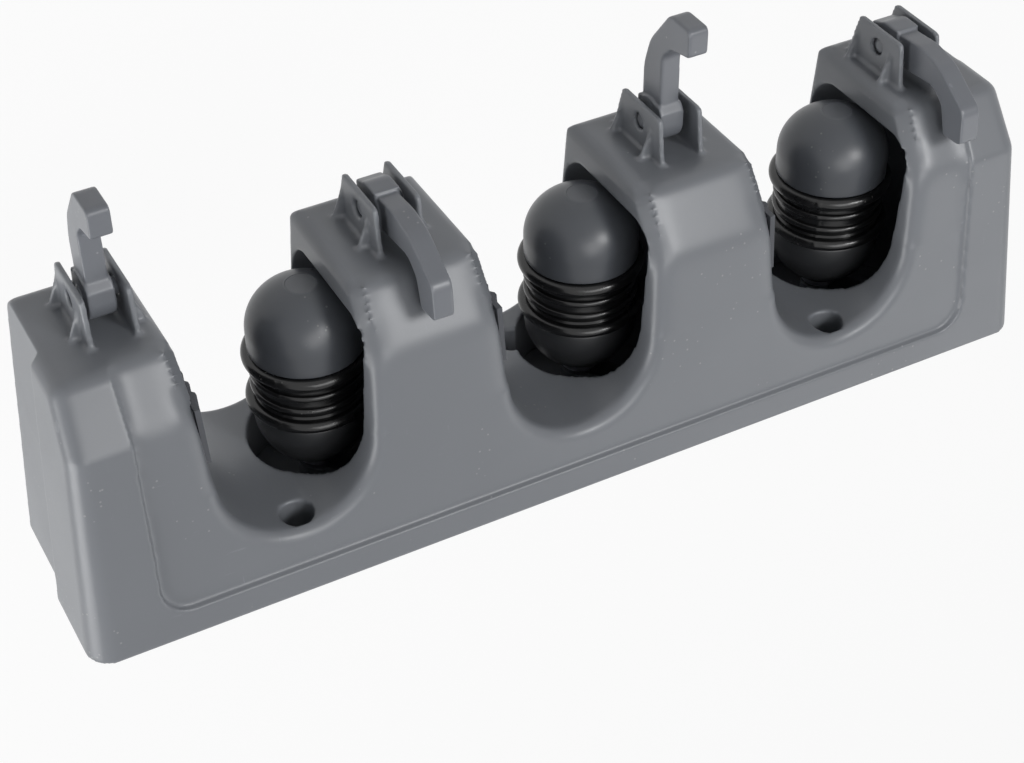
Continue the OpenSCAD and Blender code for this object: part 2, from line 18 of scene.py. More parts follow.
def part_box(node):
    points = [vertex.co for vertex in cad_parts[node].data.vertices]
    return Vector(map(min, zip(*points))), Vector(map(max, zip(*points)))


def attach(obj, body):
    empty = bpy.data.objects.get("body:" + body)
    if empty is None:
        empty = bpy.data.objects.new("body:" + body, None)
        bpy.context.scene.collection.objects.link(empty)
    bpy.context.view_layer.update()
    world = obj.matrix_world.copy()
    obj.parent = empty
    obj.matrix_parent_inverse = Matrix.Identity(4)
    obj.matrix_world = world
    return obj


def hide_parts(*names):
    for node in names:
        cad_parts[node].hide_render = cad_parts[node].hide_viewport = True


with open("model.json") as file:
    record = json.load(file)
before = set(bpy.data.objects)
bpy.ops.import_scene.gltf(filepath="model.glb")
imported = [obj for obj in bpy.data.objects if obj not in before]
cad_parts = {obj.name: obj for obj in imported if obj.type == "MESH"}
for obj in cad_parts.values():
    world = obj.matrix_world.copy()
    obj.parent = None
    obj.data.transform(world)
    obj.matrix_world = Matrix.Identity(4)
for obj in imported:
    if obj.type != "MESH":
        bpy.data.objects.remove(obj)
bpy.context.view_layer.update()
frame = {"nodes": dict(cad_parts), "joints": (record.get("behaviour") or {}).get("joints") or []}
nodes = frame["nodes"]
MM = 0.001
HOOKS = range(1, 5)
ROLLERS = range(1, 4)

# %% [markdown]
# A photograph of a long object from close by shows strong perspective. A camera could be
# aimed by eye, but then no edge would fall where it should, so this one has a place, a turn
# and a lens that were fitted to some thirty points of the rack. The rack lay on its back when
# it was photographed, which turns the picture almost upside down against the rack on its wall.

# %% Camera
LENS_MM = 72.645
FILM_MM = 36
CAMERA_AT = Vector((0.2066, -0.37509, 0.37765))
CAMERA_TURN = Quaternion((0.0948827, 0.2136088, -0.3410131, 0.9105375))
SHIFT = (0.0543, 0.0533)
NEAREST = 0.01
FURTHEST = 100

camera_data = bpy.data.cameras.new("camera")
camera_data.lens = LENS_MM
camera_data.sensor_width = FILM_MM
camera_data.shift_x, camera_data.shift_y = SHIFT
camera_data.clip_start = NEAREST
camera_data.clip_end = FURTHEST
camera = bpy.data.objects.new("camera", camera_data)
camera.location = CAMERA_AT
camera.rotation_mode = "QUATERNION"
camera.rotation_quaternion = CAMERA_TURN
scene = bpy.context.scene
scene.collection.objects.link(camera)
scene.camera = camera
scene.view_settings.view_transform = "Standard"
print("camera at", tuple(round(v, 3) for v in CAMERA_AT))

# %% [markdown]
# A finish is worked out from noise and position with many small sums. They could be wired by
# hand, node by node, but then nobody could read them. One class wraps a socket and takes the
# usual operators, so that 1 - mask * 0.3 adds its own Math nodes and reads like the sum that
# it is.

# %% Sums on sockets
class Value:
    """A node's output that can be added, subtracted and multiplied like a number."""

    def __init__(self, shading, socket):
        self.shading = shading
        self.socket = socket

    def work_out(self, operation, first, second):
        return self.shading.add("ShaderNodeMath", {"operation": operation}, {0: first, 1: second})

    def __add__(self, other):
        return self.work_out("ADD", self, other)

    def __radd__(self, other):
        return self.work_out("ADD", other, self)

    def __sub__(self, other):
        return self.work_out("SUBTRACT", self, other)

    def __rsub__(self, other):
        return self.work_out("SUBTRACT", other, self)

    def __mul__(self, other):
        return self.work_out("MULTIPLY", self, other)

    def __rmul__(self, other):
        return self.work_out("MULTIPLY", other, self)

    def larger(self, other):
        """Whichever of the two is larger."""
        return self.work_out("MAXIMUM", self, other)

    def steps(self, low, high):
        """0 below low, 1 above high, and a smooth rise between them."""
        return self.shading.add("ShaderNodeMapRange", {"interpolation_type": "SMOOTHSTEP"},
                                {"Value": self, "From Min": low, "From Max": high})


# %% [markdown]
# Materials and the world are both trees of nodes. One method makes every node: its settings
# come first, because they decide which sockets it has, and the sockets are fed after that. A
# Mix node has sockets for numbers, vectors and colours with the same names, so those for
# colours are found by their place.

# %% Trees of nodes
MIX_FACTOR = 0
MIX_FIRST = 6
MIX_SECOND = 7
MIX_COLOUR = 2


class Shading:
    """A tree of shader nodes."""

    def __init__(self, tree):
        self.tree = tree

    def add(self, kind, settings=None, inputs=None, output=0):
        """Makes a node of the kind given, and hands back one of its outputs."""
        node = self.tree.nodes.new(kind)
        for key, value in (settings or {}).items():
            setattr(node, key, value)
        for key, value in (inputs or {}).items():
            self.feed(node.inputs[key], value)
        return Value(self, node.outputs[output])

    def feed(self, socket, value):
        """Links a value to a socket, or sets a plain number or colour on it."""
        if isinstance(value, Value):
            self.tree.links.new(value.socket, socket)
        else:
            socket.default_value = value

    def mix(self, factor, first, second):
        """The first colour where the factor is 0, the second where it is 1."""
        return self.add("ShaderNodeMix", {"data_type": "RGBA"},
                        {MIX_FACTOR: factor, MIX_FIRST: first, MIX_SECOND: second}, MIX_COLOUR)

    def looking(self):
        """1 for rays from the camera, a mirror or glass, and 0 for rays that gather light."""
        rays = [self.add("ShaderNodeLightPath", output=f"Is {kind} Ray")
                for kind in ("Camera", "Glossy", "Transmission")]
        return rays[0].larger(rays[1]).larger(rays[2])


# %% [markdown]
# A finish is a tree with a Principled shader at its end. The patterns in it read Object
# coordinates, so they stay on the piece when it moves. A scale counts pattern cells in a
# metre: at 28 a cloud is some 36 mm wide, and at 2600 a grain is under half a millimetre.

# %% Finishes and their patterns
class Finish(Shading):
    """One material, with its Principled shader and the patterns that feed it."""

    def __init__(self, name):
        self.material = bpy.data.materials.new(name)
        self.material.use_nodes = True
        super().__init__(self.material.node_tree)
        self.shader = self.tree.nodes["Principled BSDF"]

    def set(self, **sockets):
        """Feeds the shader's sockets, with an underscore for each space in a socket's name."""
        for key, value in sockets.items():
            self.feed(self.shader.inputs[key.replace("_", " ")], value)

    def place(self):
        """Where a point lies on its piece, in metres."""
        return self.add("ShaderNodeTexCoord", output="Object")

    def stretched(self, scale, turn=(0, 0, 0)):
        """Places squeezed along each axis by its scale, which draws a pattern out in lines."""
        return self.add("ShaderNodeMapping", None,
                        {"Vector": self.place(), "Scale": scale, "Rotation": turn})

    def noise(self, scale, detail, vector=None, roughness=0.5):
        """A cloudy pattern between 0 and 1, finer with more detail and roughness."""
        return self.add("ShaderNodeTexNoise", None, {
            "Vector": vector or self.place(), "Scale": scale, "Detail": detail,
            "Roughness": roughness})

    def specks(self, scale, size):
        """Small round spots, 1 in the middle of each cell and 0 outside the spot."""
        cells = self.add("ShaderNodeTexVoronoi", None, {"Vector": self.place(), "Scale": scale})
        return 1 - cells.steps(size / 2, size)

    def bump(self, height, strength, distance, under=None):
        """Relief from a height pattern, on top of another relief if one is given."""
        inputs = {"Height": height, "Strength": strength, "Distance": distance}
        if under is not None:
            inputs["Normal"] = under
        return self.add("ShaderNodeBump", None, inputs)


# %% [markdown]
# Colours are written as on a paint chart, in hexadecimal, and turned into the linear numbers
# that a shader adds up. A tone is a paler or darker version of a colour.

# %% Colours
def linear(hex_colour):
    """A #rrggbb colour as Blender's linear numbers."""
    shares = [int(hex_colour[i:i + 2], 16) / 255 for i in (1, 3, 5)]
    parts = [s / 12.92 if s <= 0.04045 else ((s + 0.055) / 1.055) ** 2.4 for s in shares]
    return (*parts, 1.0)


def tone(colour, gain, lift=0.0):
    """A colour times a gain, and lifted by the same amount in red, green and blue."""
    return (*(min(1.0, part * gain + lift) for part in colour[:3]), 1.0)


print("mid grey", [round(part, 3) for part in linear("#808080")])

# %% [markdown]
# Dust lies on all the plastic and rubber, as pale specks in the places where it has settled.
# Loose specks could be modelled, but they are far too small to stand out as shapes, so they
# are spots of colour: round ones from a cell pattern, kept only where a wide noise is high.

# %% Dust
DUST_FADE = 0.02
PLASTIC_DUST = (0.62, 0.62, 0.6, 1.0)
RUBBER_DUST = (0.5, 0.5, 0.48, 1.0)


def dusty(finish, colour, dust, amount, speck_scale, speck_size, patch_scale, patch_from):
    """The colour with specks of dust on it, in patches."""
    settled = finish.noise(patch_scale, 1.0).steps(patch_from, patch_from + DUST_FADE)
    specks = finish.specks(speck_scale, speck_size) * settled
    return finish.mix(specks * amount, colour, dust)


# %% [markdown]
# The shell, the hooks and the rollers' cores are injection mouldings with a fine satin grain.
# Up close their colour isn't even: there are faint clouds from the mould's flow and pale hairline
# scuffs from packing. The sharp edges are also painted lighter, in patches: a painted highlight
# for the shine that runs along satin edges, with a little rubbing. A flat grey would look like
# a drawing. Each of these has a pattern of its own, so that each can be turned up or down, and
# Pointiness, which tells a sharp edge from a flat face, finds the edges to paint.

# %% Scuffs and painted edge highlights
SCUFF_LINES = {"scale": (1.0, 5.0, 14.0), "turn": (0.3, 0.9, 0.4)}
HAIR_LINES = {"scale": (12.0, 1.0, 3.0), "turn": (0.7, 0.2, 1.1)}
EDGE_FROM = 0.515
EDGE_FULL = 0.56
EDGE_SHEEN_AND_WEAR = 0.25
EDGE_PATCH_SCALE = 210.0


def scuffed(finish):
    """1 on the fine scuffs and 0 beside them."""
    streaks = finish.noise(75.0, 5.0, finish.stretched(**SCUFF_LINES), 0.65).steps(0.66, 0.74)
    hairs = finish.noise(120.0, 5.0, finish.stretched(**HAIR_LINES), 0.6).steps(0.67, 0.73)
    handled = finish.noise(16.0, 2.0).steps(0.48, 0.7)
    return (streaks + hairs) * handled


def edge_sheen_and_wear(finish):
    """How much lighter a sharp edge is painted: a painted highlight with some rubbing, in
    patches.
    """
    edges = finish.add("ShaderNodeNewGeometry", output="Pointiness").steps(EDGE_FROM, EDGE_FULL)
    return edges * (0.4 + finish.noise(EDGE_PATCH_SCALE, 2.0) * 0.8) * EDGE_SHEEN_AND_WEAR


# %% [markdown]
# All the plastics share one recipe and differ in colour, in gloss and in how much they have
# been handled: the rollers sit deep in the rack, so they have fewer scuffs and less dust. The
# skin of a moulding also has shallow waves where it shrank, and a fine grain from the mould.
# Both could be modelled, but they are far finer than the mesh, so they are bumps here.

# %% Plastic finishes
CLOUD_SCALE = 28.0
WAVE_SCALE = 45.0
WAVE_HEIGHT = 0.4 * MM
WAVE_STRENGTH = 0.12
GRAIN_SCALE = 2600.0
GRAIN_HEIGHT = 0.06 * MM
GRAIN_STRENGTH = 0.1
CLOUD_DULLING = 0.12
GRAIN_DULLING = 0.08
SCUFF_DULLING = 0.1
NOISE_MIDDLE = 0.5


def moulded(name, colour, rough, cloud=0.05, scuff=0.16, dust=0.22):
    """A satin plastic with clouds, scuffs, painted edge highlights, dust, shallow waves and
    grain.
    """
    finish = Finish(name)
    base = linear(colour)
    clouds = finish.noise(CLOUD_SCALE, 4.0)
    scuffs = scuffed(finish)
    shade = finish.mix(clouds.steps(0.3, 0.7) * (cloud * 4), base, tone(base, gain=0.8))
    # The scuffs are real marks, and the lighter sharp edges added with them are a painted
    # highlight, with a little rubbing.
    shade = finish.mix(scuffs * scuff + edge_sheen_and_wear(finish), shade, tone(base, gain=1.8, lift=0.05))
    shade = dusty(finish, shade, PLASTIC_DUST, dust, speck_scale=420.0, speck_size=0.16,
                  patch_scale=60.0, patch_from=0.6)
    grain = finish.noise(GRAIN_SCALE, 2.0)
    waves = finish.bump(finish.noise(WAVE_SCALE, 2.0), WAVE_STRENGTH, WAVE_HEIGHT)
    dullness = rough + scuffs * SCUFF_DULLING
    dullness = dullness + (clouds - NOISE_MIDDLE) * CLOUD_DULLING
    dullness = dullness + (grain - NOISE_MIDDLE) * GRAIN_DULLING
    finish.set(Base_Color=shade, Roughness=dullness,
               Normal=finish.bump(grain, GRAIN_STRENGTH, GRAIN_HEIGHT, waves))
    print("finish", name, colour)
    return finish.material


shell_plastic = moulded("shell_plastic", "#797c81", 0.36)
plate_plastic = moulded("plate_plastic", "#6c6f74", 0.5)
hook_plastic = moulded("hook_plastic", "#75787e", 0.34)
dome_plastic = moulded("dome_plastic", "#505358", 0.36, cloud=0.03, scuff=0.08, dust=0.15)
# The cup's near-black is painted shade: the real cup is dark grey like the dome, and only the
# pocket's shadow makes it darker.
cup_painted_shade_plastic = moulded("cup_painted_shade_plastic", "#2b2c2e", 0.4, cloud=0.03, scuff=0.06, dust=0.1)

# %% [markdown]
# The sleeves are soft black rubber and the pads a greyer one. Rubber could pass for dark
# plastic, but it is told apart by its bloom, a paler film that comes to the surface in cloudy
# patches and makes them duller, and by the dust that clings to it. So the bloom drives both
# the colour and the roughness here.

# %% Rubber finishes
BLOOM_SCALE = 90.0
BLOOM_SHARE = 0.25
BLOOM_DULLING = 0.1
RUBBER_DUSTINESS = 0.15
PORE_SCALE = 1500.0
PORE_HEIGHT = 0.1 * MM
PORE_STRENGTH = 0.16


def rubber(name, colour, rough):
    """A rubber with patches of bloom, dust and fine pores."""
    finish = Finish(name)
    base = linear(colour)
    bloom = finish.noise(BLOOM_SCALE, 4.0).steps(0.5, 0.8)
    shade = finish.mix(bloom * BLOOM_SHARE, base, tone(base, gain=2.2, lift=0.015))
    shade = dusty(finish, shade, RUBBER_DUST, RUBBER_DUSTINESS, speck_scale=520.0,
                  speck_size=0.15, patch_scale=75.0, patch_from=0.58)
    pores = finish.noise(PORE_SCALE, 3.0)
    finish.set(Base_Color=shade, Roughness=rough + bloom * BLOOM_DULLING,
               Normal=finish.bump(pores, PORE_STRENGTH, PORE_HEIGHT))
    print("finish", name, colour)
    return finish.material


sleeve_rubber = rubber("sleeve_rubber", "#0e0e0f", 0.24)
pad_rubber = rubber("pad_rubber", "#4a4c51", 0.6)

# %% [markdown]
# The spindles and the small plate screws are zinc-plated steel: bright, slightly blue, with
# fine drawn lines and dull patches. They hardly show, so one finish does for both. The lines
# are a noise that is stretched twenty times along the Y axis, which is the spindles' own.

# %% Steel finish
BRIGHT_ZINC = (0.56, 0.57, 0.6, 1.0)
DULL_ZINC = (0.4, 0.41, 0.43, 1.0)
DULL_SHARE = 0.5
BRIGHT_ROUGHNESS = 0.3
DULL_EXTRA = 0.15
DRAWN_SCALE = 900.0
DRAWN_LINES = (1.0, 0.05, 1.0)
DRAWN_HEIGHT = 0.05 * MM
DRAWN_STRENGTH = 0.15


def plated_steel(name):
    """Zinc-plated steel with drawn lines."""
    finish = Finish(name)
    dull = finish.noise(160.0, 3.0).steps(0.45, 0.7)
    lines = finish.noise(DRAWN_SCALE, 2.0, finish.stretched(DRAWN_LINES))
    finish.set(Base_Color=finish.mix(dull * DULL_SHARE, BRIGHT_ZINC, DULL_ZINC),
               Roughness=BRIGHT_ROUGHNESS + dull * DULL_EXTRA,
               Normal=finish.bump(lines, DRAWN_STRENGTH, DRAWN_HEIGHT),
               Metallic=1.0)
    print("finish", name)
    return finish.material


steel = plated_steel("plated_steel")

# %% [markdown]
# Operators act on whatever is selected, and loading the frame leaves its nodes selected. So
# each piece is made the only selected and active one before it is worked on.

# %% Selecting and applying
def clear_selection():
    if bpy.context.mode != "OBJECT":
        bpy.ops.object.mode_set(mode="OBJECT")
    bpy.ops.object.select_all(action="DESELECT")


def activate(piece):
    clear_selection()
    piece.select_set(True)
    bpy.context.view_layer.objects.active = piece


def apply_all(piece):
    activate(piece)
    for modifier in list(piece.modifiers):
        bpy.ops.object.modifier_apply(modifier=modifier.name)


# %% [markdown]
# A node of the frame is never changed. Where its shape has to get softer, a copy takes its
# place and the node is hidden. The node's triangles lie loose beside each other, so the copy's
# doubles are merged first, which makes one closed skin of them.

# %% Copies that stand for a node
SAME_POINT = 0.001 * MM


def merged_copy(node, name):
    """A copy of a node's mesh with its loose triangles sewn together."""
    piece = bpy.data.objects.new(name, nodes[node].data.copy())
    scene.collection.objects.link(piece)
    activate(piece)
    bpy.ops.object.mode_set(mode="EDIT")
    bpy.ops.mesh.select_all(action="SELECT")
    bpy.ops.mesh.remove_doubles(threshold=SAME_POINT)
    bpy.ops.object.mode_set(mode="OBJECT")
    print(name, "corners", len(piece.data.vertices))
    return piece


def dress(piece, body, node, material):
    """Gives a piece its material, and lets it stand for a node and move with its body."""
    piece.data.materials.clear()
    piece.data.materials.append(material)
    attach(piece, body)
    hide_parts(node)


# %% [markdown]
# Nothing that comes out of a mould has a knife edge. A bevel would be the usual way to break
# the edges, but on a shell with this many cuts it fails where three edges meet. Instead the
# copy is rebuilt as an even skin of small squares and relaxed, so that every edge rounds over
# alike while the slots and pockets stay where they are. Where the skin is flat it then needs
# few faces, so it is thinned.

# %% Softening
HALFWAY = 0.5


def relaxed(piece, name, rounds):
    """A modifier that moves each corner halfway to the middle of its neighbours, many times."""
    relax = piece.modifiers.new(name, "SMOOTH")
    relax.factor = HALFWAY
    relax.iterations = rounds
    return relax


def soften(piece, square, rounds):
    """Rebuilds the mesh in small squares and relaxes it, which rounds every edge."""
    skin = piece.modifiers.new("skin", "REMESH")
    skin.mode = "VOXEL"
    skin.voxel_size = square
    relaxed(piece, "relax", rounds)
    apply_all(piece)
    bpy.ops.object.shade_smooth()
    print(piece.name, "squares", len(piece.data.polygons))


def relax_where(piece, chosen, rounds):
    """Relaxes only the corners for which chosen(place, normal) is true."""
    group = piece.vertex_groups.new(name="soft")
    soft = [v.index for v in piece.data.vertices if chosen(v.co, v.normal)]
    group.add(soft, 1.0, "REPLACE")
    relaxed(piece, "relax_here", rounds).vertex_group = group.name
    apply_all(piece)
    piece.vertex_groups.clear()
    print(piece.name, "relaxed corners", len(soft))


def thin_out(piece, triangles):
    """Takes faces away where the mesh is flat, down to about so many triangles."""
    squares = len(piece.data.polygons)
    thin = piece.modifiers.new("thin", "DECIMATE")
    thin.ratio = min(1.0, triangles / (2 * squares))
    apply_all(piece)
    print(piece.name, "thinned from", 2 * squares, "triangles to", len(piece.data.polygons))


# %% [markdown]
# Beside each slot the sloping shoulder runs over the slot's raised lip. In the solids a film
# of a few hundredths of a millimetre is left over the lip there, and the small squares would
# turn it into a row of notches. Moving its corners one by one would be slow, so the film is
# skimmed off, as with a plane: a thin slab lies on each shoulder at its slope and is cut away
# from the shell, and the slab is deleted.

# %% Skimming the lips
SLOPE = math.radians(33.46)
SLAB_SIZE = (6.7 * MM, 18 * MM, 1.16 * MM)
SLAB_FROM_SLOT = 22.85 * MM
SLAB_Y = -68.232 * MM
SLAB_Z = 24.158 * MM
SLOT_PITCH = 80 * MM
slot_middles = [step * SLOT_PITCH for step in (-1, 0, 1)]


def shave_lips(piece):
    """Cuts a thin slab from both shoulders beside each slot."""
    slabs = []
    for middle in slot_middles:
        for side in (-1, 1):
            clear_selection()
            bpy.ops.mesh.primitive_cube_add(
                size=1, location=(middle + side * SLAB_FROM_SLOT, SLAB_Y, SLAB_Z),
                rotation=(SLOPE, 0, 0), scale=SLAB_SIZE)
            slab = bpy.context.active_object
            skim = piece.modifiers.new("skim", "BOOLEAN")
            skim.operation = "DIFFERENCE"
            skim.solver = "EXACT"
            skim.object = slab
            slabs.append(slab)
    apply_all(piece)
    for slab in slabs:
        bpy.data.objects.remove(slab)
    print(piece.name, "skimmed with", len(slabs), "slabs")


# %% [markdown]
# The real shoulders, between the block fronts and the recessed panel, are rounder than the
# other edges: the light runs over them without a break. One roundness for the whole shell
# would melt the ears and the pockets, so the shoulders and the lips get many more rounds of
# relaxing, and a test on place and normal keeps everything else out of it.

# %% Where the shoulders are
SHOULDER_START = 38 * MM
SHOULDER_LOW = 7 * MM
SHOULDER_END = 119 * MM
LIP_LOW = 18.5 * MM
LIP_SPAN = (18.5 * MM, 27 * MM)
FACING_UP = 0.15
FACING_FRONT = -0.2


def on_lip(place):
    """True on the raised lips beside a slot."""
    reach = [abs(place.x - middle) for middle in slot_middles]
    return place.z > LIP_LOW and any(LIP_SPAN[0] < r < LIP_SPAN[1] for r in reach)


def on_shoulder(place, normal):
    """The outer skin between the block fronts and the panel, clear of ears and pockets."""
    if -place.y < SHOULDER_START or abs(place.x) > SHOULDER_END:
        return False
    outward = normal.z > FACING_UP or normal.y < FACING_FRONT
    return on_lip(place) or (outward and place.z > SHOULDER_LOW)


# %% [markdown]
# The shell is the rack's one large moulding, and carries everything else. Its copy is skimmed
# first, because a film is easy to cut while the faces are flat, and then softened. The squares
# are about half a millimetre: larger ones would lose the ears' thin edges, and smaller ones
# would make more faces than one piece should have.

# %% Shell
SHELL_SQUARE = 0.55 * MM
SHELL_ROUNDS = 4
SHOULDER_ROUNDS = 180
SHELL_TRIANGLES = 190000

shell = merged_copy("housing", "shell")
shave_lips(shell)
soften(shell, SHELL_SQUARE, SHELL_ROUNDS)
relax_where(shell, on_shoulder, SHOULDER_ROUNDS)
thin_out(shell, SHELL_TRIANGLES)
dress(shell, "rack", "housing", shell_plastic)

# %% [markdown]
# Each hook is a small J with a wide hub, and turns on two pins in the ears of its block. In
# the photograph an ear shows a dark hole, because the pin stops short of its outer face. The
# pins could be cut off and closed again, but it is enough to push their end faces in, which
# keeps the skin closed. After that the hook gets its soft edges, with finer squares than the
# shell because it is so much smaller.

# %% Folding hooks
PIN_REACH = 5.6 * MM
HOOK_SQUARE = 0.22 * MM
HOOK_ROUNDS = 30
HOOK_TRIANGLES = 30000


def push_pins_in(piece, low, high):
    """Moves all that lies beyond the pins' new reach back to it."""
    middle = (low[0] + high[0]) / 2
    for vertex in piece.data.vertices:
        reach = vertex.co.x - middle
        if abs(reach) > PIN_REACH:
            vertex.co.x = middle + math.copysign(PIN_REACH, reach)


for number in HOOKS:
    hook = merged_copy(f"hook_{number}", f"folding_hook_{number}")
    push_pins_in(hook, *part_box(f"hook_{number}"))
    soften(hook, HOOK_SQUARE, HOOK_ROUNDS)
    thin_out(hook, HOOK_TRIANGLES)
    dress(hook, f"hook_arm_{number}", f"hook_{number}", hook_plastic)

# %% [markdown]
# The plate, its screws, the pads, the spindles and their caps have the right shape as they
# are, and little of them shows. They could be copied and softened like the shell, but a
# better material is enough, so the frame's own pieces stay and only their slots change.

# %% Finishes for the other nodes
def finish_node(node, material):
    for slot in nodes[node].material_slots:
        slot.material = material
    print(node, "is", material.name)


finish_node("back_plate", plate_plastic)
finish_node("back_plate_screws", steel)
for number in ROLLERS:
    finish_node(f"grip_pad_{number}", pad_rubber)
    finish_node(f"roller_spindle_{number}", steel)
    finish_node(f"roller_cap_{number}", dome_plastic)

# %% [markdown]
# A roller is a plastic core with a domed front and a cupped back, and a soft black sleeve
# between them. Everything on it is round. A spin of an outline would do, but the beads need
# even rings, so each piece is turned like a pot: a circle is pulled out ring by ring along the
# roller's axis, wider or narrower as its outline asks. An outline is a list of points, each a
# radius and a depth from the wall, both in millimetres.

# %% Turning
SIDES = 160
SMOOTH_BELOW = math.radians(38)


def arc(middle, depth, radius, start, end, count, height=None):
    """Points of an arc as (radius from the axis, depth), angles from the outward side."""
    tall = radius if height is None else height
    turns = [math.radians(start + (end - start) * i / count) for i in range(count + 1)]
    return [(middle + radius * math.cos(t), depth + tall * math.sin(t)) for t in turns]


def turned(name, outline):
    """A closed piece turned round the Y axis from (radius, depth) points in millimetres."""
    clear_selection()
    radius, depth = outline[0]
    bpy.ops.mesh.primitive_circle_add(vertices=SIDES, radius=radius * MM,
                                      location=(0, -depth * MM, 0),
                                      rotation=(math.pi / 2, 0, 0))
    piece = bpy.context.active_object
    piece.name = name
    bpy.ops.object.transform_apply(location=True, rotation=True, scale=True)
    bpy.ops.object.mode_set(mode="EDIT")
    bpy.ops.mesh.select_all(action="SELECT")
    for wider, further in outline[1:]:
        step = {"value": (0, (depth - further) * MM, 0)}
        bpy.ops.mesh.extrude_edges_move(TRANSFORM_OT_translate=step)
        scale = wider / radius
        bpy.ops.transform.resize(value=(scale, 1, scale), center_override=(0, -further * MM, 0))
        radius, depth = wider, further
    bpy.ops.mesh.select_all(action="DESELECT")
    bpy.ops.mesh.select_non_manifold(extend=False)
    bpy.ops.mesh.fill_holes(sides=0)
    bpy.ops.mesh.select_all(action="SELECT")
    bpy.ops.mesh.normals_make_consistent(inside=False)
    bpy.ops.object.mode_set(mode="OBJECT")
    bpy.ops.object.shade_smooth_by_angle(angle=SMOOTH_BELOW)
    print(name, "rings", len(outline), "faces", len(piece.data.polygons))
    return piece


# %% [markdown]
# The three rollers are alike, so each piece is turned once, on the Y axis, and copied. Every
# copy has a mesh of its own, because it is moved inside its mesh: its object stays at the
# origin, where the frame's own objects are. Each roller is turned a little differently about
# its axis, as free rollers are, so that their mould lines don't line up.

# %% Seats on the rollers
ROLLER_DEGREES = {1: 0, 2: 75, 3: -8}
axes = {joint["child"]: joint["pos_m"] for joint in frame["joints"] if "pos_m" in joint}


def on_rollers(piece, node, material):
    """Sets a copy of the piece on each roller's axis, and deletes the piece."""
    for number, turn in ROLLER_DEGREES.items():
        copy = bpy.data.objects.new(f"{piece.name}_{number}", piece.data.copy())
        scene.collection.objects.link(copy)
        activate(copy)
        bpy.ops.object.mode_set(mode="EDIT")
        bpy.ops.mesh.select_all(action="SELECT")
        bpy.ops.transform.rotate(value=math.radians(turn), orient_axis="Y",
                                 center_override=(0, 0, 0))
        axis = axes[f"roller_{number}"]
        bpy.ops.transform.translate(value=(axis[0], 0, axis[2]))
        bpy.ops.object.mode_set(mode="OBJECT")
        dress(copy, f"roller_{number}", f"{node}_{number}", material)
    bpy.data.objects.remove(piece)
    print(node, "on", len(ROLLER_DEGREES), "rollers")


# %% [markdown]
# The dome is a short straight wall that runs over into a cap a little flatter than a ball,
# which leaves a faint line where the two meet. At its tip it has a seat for the small push-on
# disc that holds the roller on its spindle. A ball scaled flat would have no wall and no line,
# so the outline is drawn: rim, wall, cap and seat.

# %% Domes
CORE_R = 15.3
NECK_R = 12.6
AXIS_R = 0.2
RIM_ROUND = 0.4
RIM_R = CORE_R - RIM_ROUND
ROLLER_MID = 38.25
SLEEVE_HALF = 8.7
SLEEVE_TOP = ROLLER_MID + SLEEVE_HALF
JOIN_GAP = 0.05
WALL_RING = SLEEVE_TOP + 2.5
DOME_START = 52.6
DOME_H = 13.4
SEAT_EDGE_R = 4.06
SEAT_SIDE = [(4.05, 64.6), (4.02, 63.9)]
SEAT_FLOOR = 63.9

rim = SLEEVE_TOP + JOIN_GAP
cap_to = math.degrees(math.acos(SEAT_EDGE_R / CORE_R))
dome_outline = [(NECK_R, rim), (RIM_R, rim)]
dome_outline += arc(RIM_R, rim + RIM_ROUND, RIM_ROUND, start=-80, end=0, count=4)
dome_outline += [(CORE_R, WALL_RING), (CORE_R, DOME_START)]
dome_outline += arc(0, DOME_START, CORE_R, start=1.5, end=cap_to, count=40, height=DOME_H)
dome_outline += SEAT_SIDE + [(AXIS_R, SEAT_FLOOR)]
on_rollers(turned("dome", dome_outline), "roller_dome", dome_plastic)

# %% [markdown]
# The sleeve is one rubber moulding: a wide bead at each end, two thin ridges, and deep grooves
# between them. The beads could be rings laid on a tube, but the real ones flow out of the same
# skin, so they are part of one outline, each a half round that is a little fuller than a
# circle. The outline runs from the sleeve's front end towards the wall.

# %% Sleeve outline
SLEEVE_BORE_R = 13.1
SLEEVE_EDGE_R = 14.7
SLEEVE_END_GAP = 0.02
SLEEVE_BACK = 29.56
BEAD = {"half": 1.75, "count": 14}
RIDGE = {"half": 0.95, "count": 10, "reach": 15.45}
FULLNESS = 0.8
FRONT_GROOVE = [(14.55, 42.6), (14.45, 41.8)]
MIDDLE_GROOVE = [(14.4, 38.4), (14.4, 37.6)]
REAR_GROOVE = [(14.2, 34.4), (14.15, 33.6)]


def ridge(depth, reach, half, floor, count):
    """A rounded ridge that stands on a floor of the given radius and reaches out to another."""
    turns = [math.pi * i / count for i in range(count + 1)]
    return [(floor + (reach - floor) * math.sin(t) ** FULLNESS, depth + half * math.cos(t))
            for t in turns]


sleeve_front = SLEEVE_TOP - SLEEVE_END_GAP
sleeve_outline = [(SLEEVE_BORE_R, sleeve_front), (SLEEVE_EDGE_R, sleeve_front)]
sleeve_outline += ridge(depth=45.1, reach=17.0, floor=14.9, **BEAD) + FRONT_GROOVE
sleeve_outline += ridge(depth=40.05, floor=14.45, **RIDGE) + MIDDLE_GROOVE
sleeve_outline += ridge(depth=35.9, floor=14.4, **RIDGE) + REAR_GROOVE
sleeve_outline += ridge(depth=31.35, reach=16.95, floor=14.6, **BEAD)
sleeve_outline += [(SLEEVE_BORE_R, SLEEVE_BACK)]
sleeve = turned("sleeve", sleeve_outline)

# %% [markdown]
# The mould's two halves leave a raised line along the sleeve. A strip laid on it would need
# an outline of its own. Instead one row of corners is selected by its angle round the axis,
# all but those in the bore, and moved outwards by about one part in a hundred.

# %% Mould line on the sleeve
SEAM_TURN = math.radians(46)
SEAM_HALF = math.pi / SIDES
SEAM_INSIDE = 13.5 * MM
SEAM_GROWTH = 1.012

